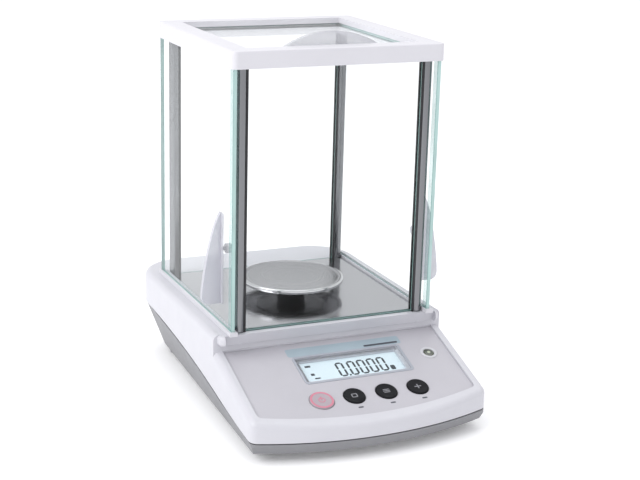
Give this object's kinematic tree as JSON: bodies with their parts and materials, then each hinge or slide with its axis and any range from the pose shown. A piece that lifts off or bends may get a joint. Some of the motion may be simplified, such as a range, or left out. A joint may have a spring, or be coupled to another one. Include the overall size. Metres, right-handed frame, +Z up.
{
  "type": "analytical balance",
  "caption": "Analytical balance: round weighing pan in a glass draft shield with sliding side and top doors, on a wedge housing with display, keys and levelling feet.",
  "frame": {"origin": "centre of the footprint box, on the surface the feet stand on", "axes": "+Z up, +Y towards the rear, +X to the right as seen from the display side"},
  "size_m": [0.213, 0.317, 0.313],
  "materials": {
    "white_cover": "satin moulded plastic",
    "grey_tray": "fine texture",
    "panel_grey": "printed film",
    "window_clear": "polished",
    "lcd_pale": "backlit panel",
    "board_green": "solder mask",
    "key_black": "satin",
    "key_power": "satin",
    "socket_black": "moulded",
    "level_ring": "satin",
    "level_fluid": "liquid",
    "steel_plate": "brushed",
    "post_aluminium": "drawn and anodised",
    "pane_glass": "polished, ground edges",
    "grip_clear": "frosted",
    "knob_white": "satin",
    "foot_rubber": "matt",
    "wheel_grey": "moulded",
    "screw_steel": "zinc plated",
    "cell_aluminium": "machined",
    "magnet_steel": "plated"
  },
  "bodies": {
    "base": {"upper_housing": "white_cover", "top_frame": "white_cover", "left_door_rail": "white_cover", "right_door_rail": "white_cover", "lower_housing": "grey_tray", "hook_cover": "grey_tray", "control_panel": "panel_grey", "display_window": "window_clear", "lcd_module": "lcd_pale", "display_board": "board_green", "main_board": "board_green", "power_inlet": "socket_black", "key_switches": "socket_black", "board_standoffs": "socket_black", "ribbon_cable": "socket_black", "rating_label": "socket_black", "coil": "socket_black", "level_body": "level_ring", "level_vial": "level_fluid", "floor_plate": "steel_plate", "pan_stem": "steel_plate", "left_front_post": "post_aluminium", "left_rear_post": "post_aluminium", "right_front_post": "post_aluminium", "right_rear_post": "post_aluminium", "front_glass": "pane_glass", "rear_glass": "pane_glass", "front_feet": "foot_rubber", "housing_screws": "screw_steel", "post_studs": "screw_steel", "serial_port": "screw_steel", "lock_plate": "screw_steel", "cell_frame": "cell_aluminium", "cell_guides": "cell_aluminium", "load_receiver": "cell_aluminium", "balance_beam": "cell_aluminium", "magnet_pot": "magnet_steel"},
    "left_door": {"left_door_glass": "pane_glass", "left_door_grip": "grip_clear", "left_door_knob": "knob_white"},
    "right_door": {"right_door_glass": "pane_glass", "right_door_grip": "grip_clear", "right_door_knob": "knob_white"},
    "top_door": {"top_door_glass": "pane_glass", "top_door_grip": "grip_clear"},
    "pan_carrier": {"pan_support": "steel_plate"},
    "pan": {"weighing_pan": "steel_plate"},
    "power_key": {"power_button": "key_power"},
    "zero_key": {"zero_button": "key_black"},
    "unit_key": {"unit_button": "key_black"},
    "send_key": {"send_button": "key_black"},
    "left_foot": {"left_foot_pad": "foot_rubber"},
    "left_wheel": {"left_foot_wheel": "wheel_grey"},
    "right_foot": {"right_foot_pad": "foot_rubber"},
    "right_wheel": {"right_foot_wheel": "wheel_grey"}
  },
  "joints": [
    {"name": "left_door_slide", "type": "slide", "parent": "base", "child": "left_door", "axis": [0, 1, 0], "range_m": [0, 0.133]},
    {"name": "right_door_slide", "type": "slide", "parent": "base", "child": "right_door", "axis": [0, 1, 0], "range_m": [0, 0.133]},
    {"name": "top_door_slide", "type": "slide", "parent": "base", "child": "top_door", "axis": [0, 1, 0], "range_m": [0, 0.14]},
    {"name": "pan_carrier_lift", "type": "slide", "parent": "base", "child": "pan_carrier", "axis": [0, 0, 1], "range_m": [0, 0.012]},
    {"name": "pan_lift", "type": "slide", "parent": "pan_carrier", "child": "pan", "axis": [0, 0, 1], "range_m": [0, 0.06]},
    {"name": "power_press", "type": "slide", "parent": "base", "child": "power_key", "axis": [0, 0.3173, -0.9483], "range_m": [0, 0.001], "stiffness_N_per_m": 900},
    {"name": "zero_press", "type": "slide", "parent": "base", "child": "zero_key", "axis": [0, 0.3173, -0.9483], "range_m": [0, 0.001], "stiffness_N_per_m": 900},
    {"name": "unit_press", "type": "slide", "parent": "base", "child": "unit_key", "axis": [0, 0.3173, -0.9483], "range_m": [0, 0.001], "stiffness_N_per_m": 900},
    {"name": "send_press", "type": "slide", "parent": "base", "child": "send_key", "axis": [0, 0.3173, -0.9483], "range_m": [0, 0.001], "stiffness_N_per_m": 900},
    {"name": "left_foot_height", "type": "slide", "parent": "base", "child": "left_foot", "axis": [0, 0, -1], "range_m": [0, 0.005]},
    {"name": "left_wheel_turn", "type": "hinge", "parent": "left_foot", "child": "left_wheel", "pos_m": [-0.07, 0.1125, 0.005], "axis": [0, 0, 1], "range_deg": [0, 1440]},
    {"name": "right_foot_height", "type": "slide", "parent": "base", "child": "right_foot", "axis": [0, 0, -1], "range_m": [0, 0.005]},
    {"name": "right_wheel_turn", "type": "hinge", "parent": "right_foot", "child": "right_wheel", "pos_m": [0.07, 0.1125, 0.005], "axis": [0, 0, 1], "range_deg": [0, 1440]}
  ],
  "couplings": [
    {"joint": "left_wheel_turn", "follows": "left_foot_height", "rad_per_m": 5026.5},
    {"joint": "right_wheel_turn", "follows": "right_foot_height", "rad_per_m": 5026.5}
  ]
}
